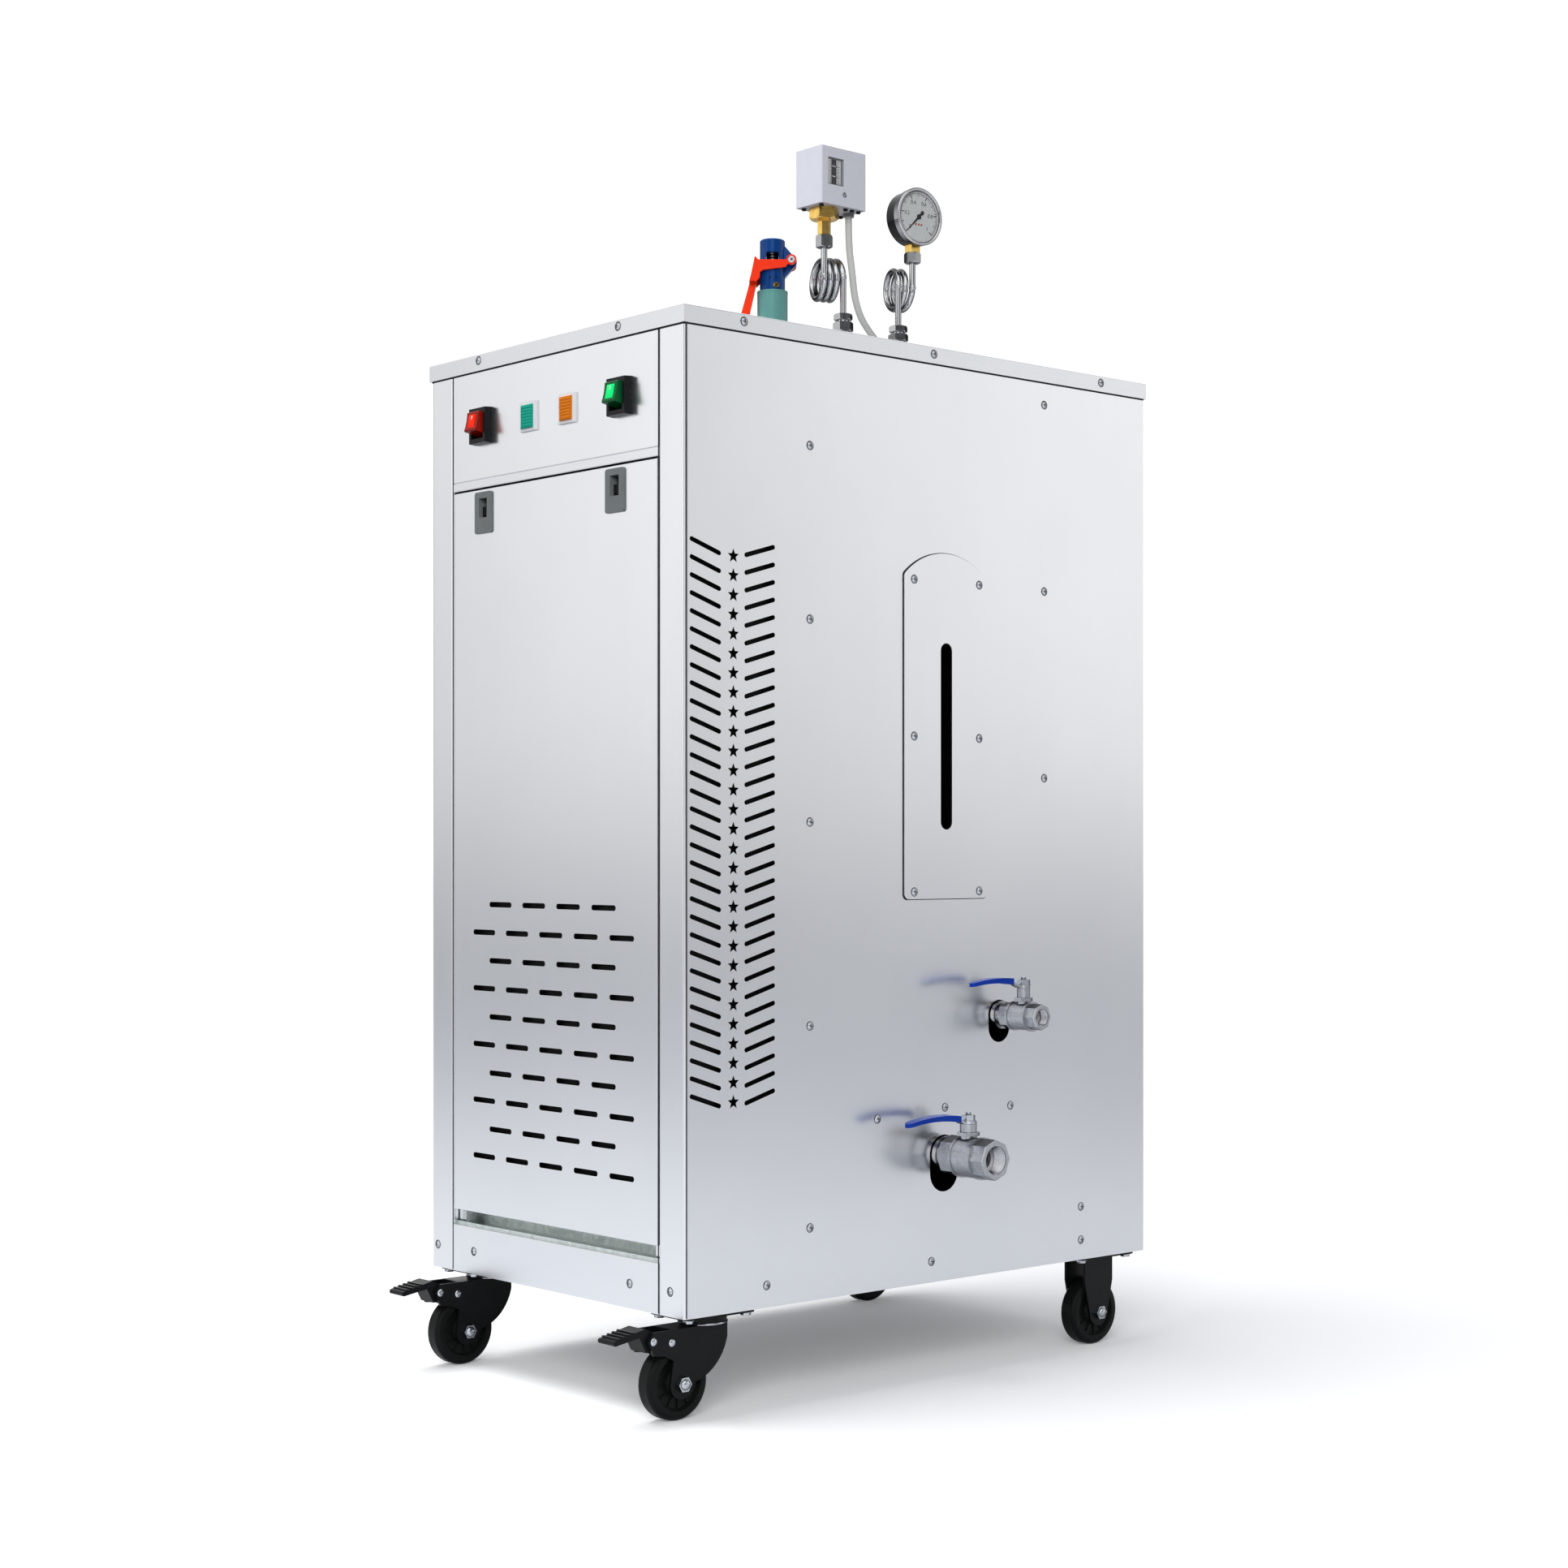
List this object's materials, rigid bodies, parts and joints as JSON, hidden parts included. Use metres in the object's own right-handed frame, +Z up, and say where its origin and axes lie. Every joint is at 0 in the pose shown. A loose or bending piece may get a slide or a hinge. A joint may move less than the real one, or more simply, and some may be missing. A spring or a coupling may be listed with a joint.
{
  "type": "electric steam boiler in a cabinet on casters",
  "caption": "Electric steam boiler in a tall stainless cabinet on casters, with vented sides, level window, side ball valves, and a safety valve, pressure switch and gauge on its lid.",
  "frame": {"origin": "on the floor, under the centre of the whole assembly's box", "axes": "+Z up; +X to the side with the valves and the level window; -Y towards the control panel"},
  "size_m": [0.5264, 0.7524, 1.3689],
  "materials": {
    "stainless_sheet": "brushed satin stainless sheet",
    "galvanised_sheet": "dull galvanised",
    "stainless_pipe": "polished stainless",
    "cast_stainless": "blasted stainless casting",
    "drum_steel": "plain rolled steel",
    "zinc_plate": "bright zinc plate",
    "caster_black": "black coated steel",
    "caster_tyre": "hard black rubber",
    "pedal_plastic": "moulded black nylon",
    "brass": "turned brass",
    "valve_teal": "teal enamel",
    "bonnet_blue": "blue enamel",
    "lever_red": "red enamel",
    "sleeve_blue": "blue vinyl dip",
    "switch_black": "moulded black",
    "rocker_red": "lit red rocker",
    "rocker_green": "lit green rocker",
    "bezel_white": "moulded white",
    "lens_green": "teal-green lens",
    "lens_amber": "amber lens",
    "latch_grey": "grey die casting",
    "case_white": "pale enamel",
    "gauge_black": "black enamel",
    "dial_white": "white dial",
    "level_glass": "clear glass",
    "conduit_white": "pale PVC",
    "gland_grey": "grey nylon"
  },
  "bodies": {
    "cabinet": {"base_pan": "stainless_sheet", "front_posts": "stainless_sheet", "rear_panel": "stainless_sheet", "side_panel_left": "stainless_sheet", "side_panel_right": "stainless_sheet", "lid": "stainless_sheet", "kick_rail": "stainless_sheet", "sill_channel": "galvanised_sheet", "cross_rail": "stainless_sheet", "control_panel": "stainless_sheet", "switch_housings": "switch_black", "lamp_bezels": "bezel_white", "lamp_lens_green": "lens_green", "lamp_lens_amber": "lens_amber", "sight_cover": "stainless_sheet", "level_glass": "level_glass", "level_fittings": "brass", "boiler_drum": "drum_steel", "drum_skirt": "drum_steel", "valve_nipples": "stainless_pipe", "drain_valve_body": "cast_stainless", "feed_valve_body": "cast_stainless", "caster_plates": "caster_black", "rear_forks": "caster_black", "rear_axles": "zinc_plate", "safety_valve_body": "valve_teal", "safety_valve_bonnet": "bonnet_blue", "switch_siphon": "stainless_pipe", "gauge_siphon": "stainless_pipe", "pressure_switch_bellows": "brass", "pressure_switch_case": "case_white", "gauge_case": "gauge_black", "gauge_stem": "brass", "gauge_bezel": "stainless_pipe", "gauge_dial": "dial_white", "conduit": "conduit_white", "conduit_glands": "gland_grey"},
    "access_panel": {"access_panel": "stainless_sheet", "latch_plates": "latch_grey"},
    "rocker_red": {"rocker_red": "rocker_red"},
    "rocker_green": {"rocker_green": "rocker_green"},
    "drain_lever": {"drain_valve_lever": "zinc_plate", "drain_lever_sleeve": "sleeve_blue"},
    "feed_lever": {"feed_valve_lever": "zinc_plate", "feed_lever_sleeve": "sleeve_blue"},
    "safety_lever": {"safety_valve_lever": "lever_red"},
    "front_caster_left": {"front_fork_left": "caster_black", "front_axle_left": "zinc_plate"},
    "front_wheel_left": {"front_wheel_left": "caster_tyre"},
    "rear_wheel_left": {"rear_wheel_left": "caster_tyre"},
    "brake_pedal_left": {"brake_pedal_left": "pedal_plastic"},
    "front_caster_right": {"front_fork_right": "caster_black", "front_axle_right": "zinc_plate"},
    "front_wheel_right": {"front_wheel_right": "caster_tyre"},
    "rear_wheel_right": {"rear_wheel_right": "caster_tyre"},
    "brake_pedal_right": {"brake_pedal_right": "pedal_plastic"}
  },
  "joints": [
    {"name": "access_panel_tilt", "type": "hinge", "parent": "cabinet", "child": "access_panel", "pos_m": [-0.0378, -0.2962, 0.1598], "axis": [1, 0, 0], "range_deg": [0, 20]},
    {"name": "rocker_red_press", "type": "hinge", "parent": "cabinet", "child": "rocker_red", "pos_m": [-0.1608, -0.3032, 1.026], "axis": [1, 0, 0], "range_deg": [0, 24]},
    {"name": "rocker_green_press", "type": "hinge", "parent": "cabinet", "child": "rocker_green", "pos_m": [0.0852, -0.3032, 1.026], "axis": [1, 0, 0], "range_deg": [0, 24]},
    {"name": "drain_valve_turn", "type": "hinge", "parent": "cabinet", "child": "drain_lever", "pos_m": [0.2222, 0.0514, 0.283], "axis": [0, 0, 1], "range_deg": [0, 90]},
    {"name": "feed_valve_turn", "type": "hinge", "parent": "cabinet", "child": "feed_lever", "pos_m": [0.2222, 0.1358, 0.424], "axis": [0, 0, 1], "range_deg": [0, 90]},
    {"name": "safety_valve_lift", "type": "hinge", "parent": "cabinet", "child": "safety_lever", "pos_m": [-0.02375, 0.01694, 1.2274], "axis": [-0.7541, 0.6567, 0], "range_deg": [0, 20]},
    {"name": "front_swivel_left", "type": "hinge", "parent": "cabinet", "child": "front_caster_left", "pos_m": [-0.2258, -0.2542, 0.105], "axis": [0, 0, 1], "continuous": true},
    {"name": "front_wheel_left_roll", "type": "hinge", "parent": "front_caster_left", "child": "front_wheel_left", "pos_m": [-0.2258, -0.2932, 0.0375], "axis": [1, 0, 0], "continuous": true},
    {"name": "rear_wheel_left_roll", "type": "hinge", "parent": "cabinet", "child": "rear_wheel_left", "pos_m": [-0.2258, 0.3188, 0.0375], "axis": [1, 0, 0], "continuous": true},
    {"name": "brake_pedal_left_press", "type": "hinge", "parent": "front_caster_left", "child": "brake_pedal_left", "pos_m": [-0.2258, -0.3292, 0.0835], "axis": [1, 0, 0], "range_deg": [0, 15]},
    {"name": "front_swivel_right", "type": "hinge", "parent": "cabinet", "child": "front_caster_right", "pos_m": [0.1502, -0.2542, 0.105], "axis": [0, 0, 1], "continuous": true},
    {"name": "front_wheel_right_roll", "type": "hinge", "parent": "front_caster_right", "child": "front_wheel_right", "pos_m": [0.1502, -0.2932, 0.0375], "axis": [1, 0, 0], "continuous": true},
    {"name": "rear_wheel_right_roll", "type": "hinge", "parent": "cabinet", "child": "rear_wheel_right", "pos_m": [0.1502, 0.3188, 0.0375], "axis": [1, 0, 0], "continuous": true},
    {"name": "brake_pedal_right_press", "type": "hinge", "parent": "front_caster_right", "child": "brake_pedal_right", "pos_m": [0.1502, -0.3292, 0.0835], "axis": [1, 0, 0], "range_deg": [0, 15]}
  ]
}
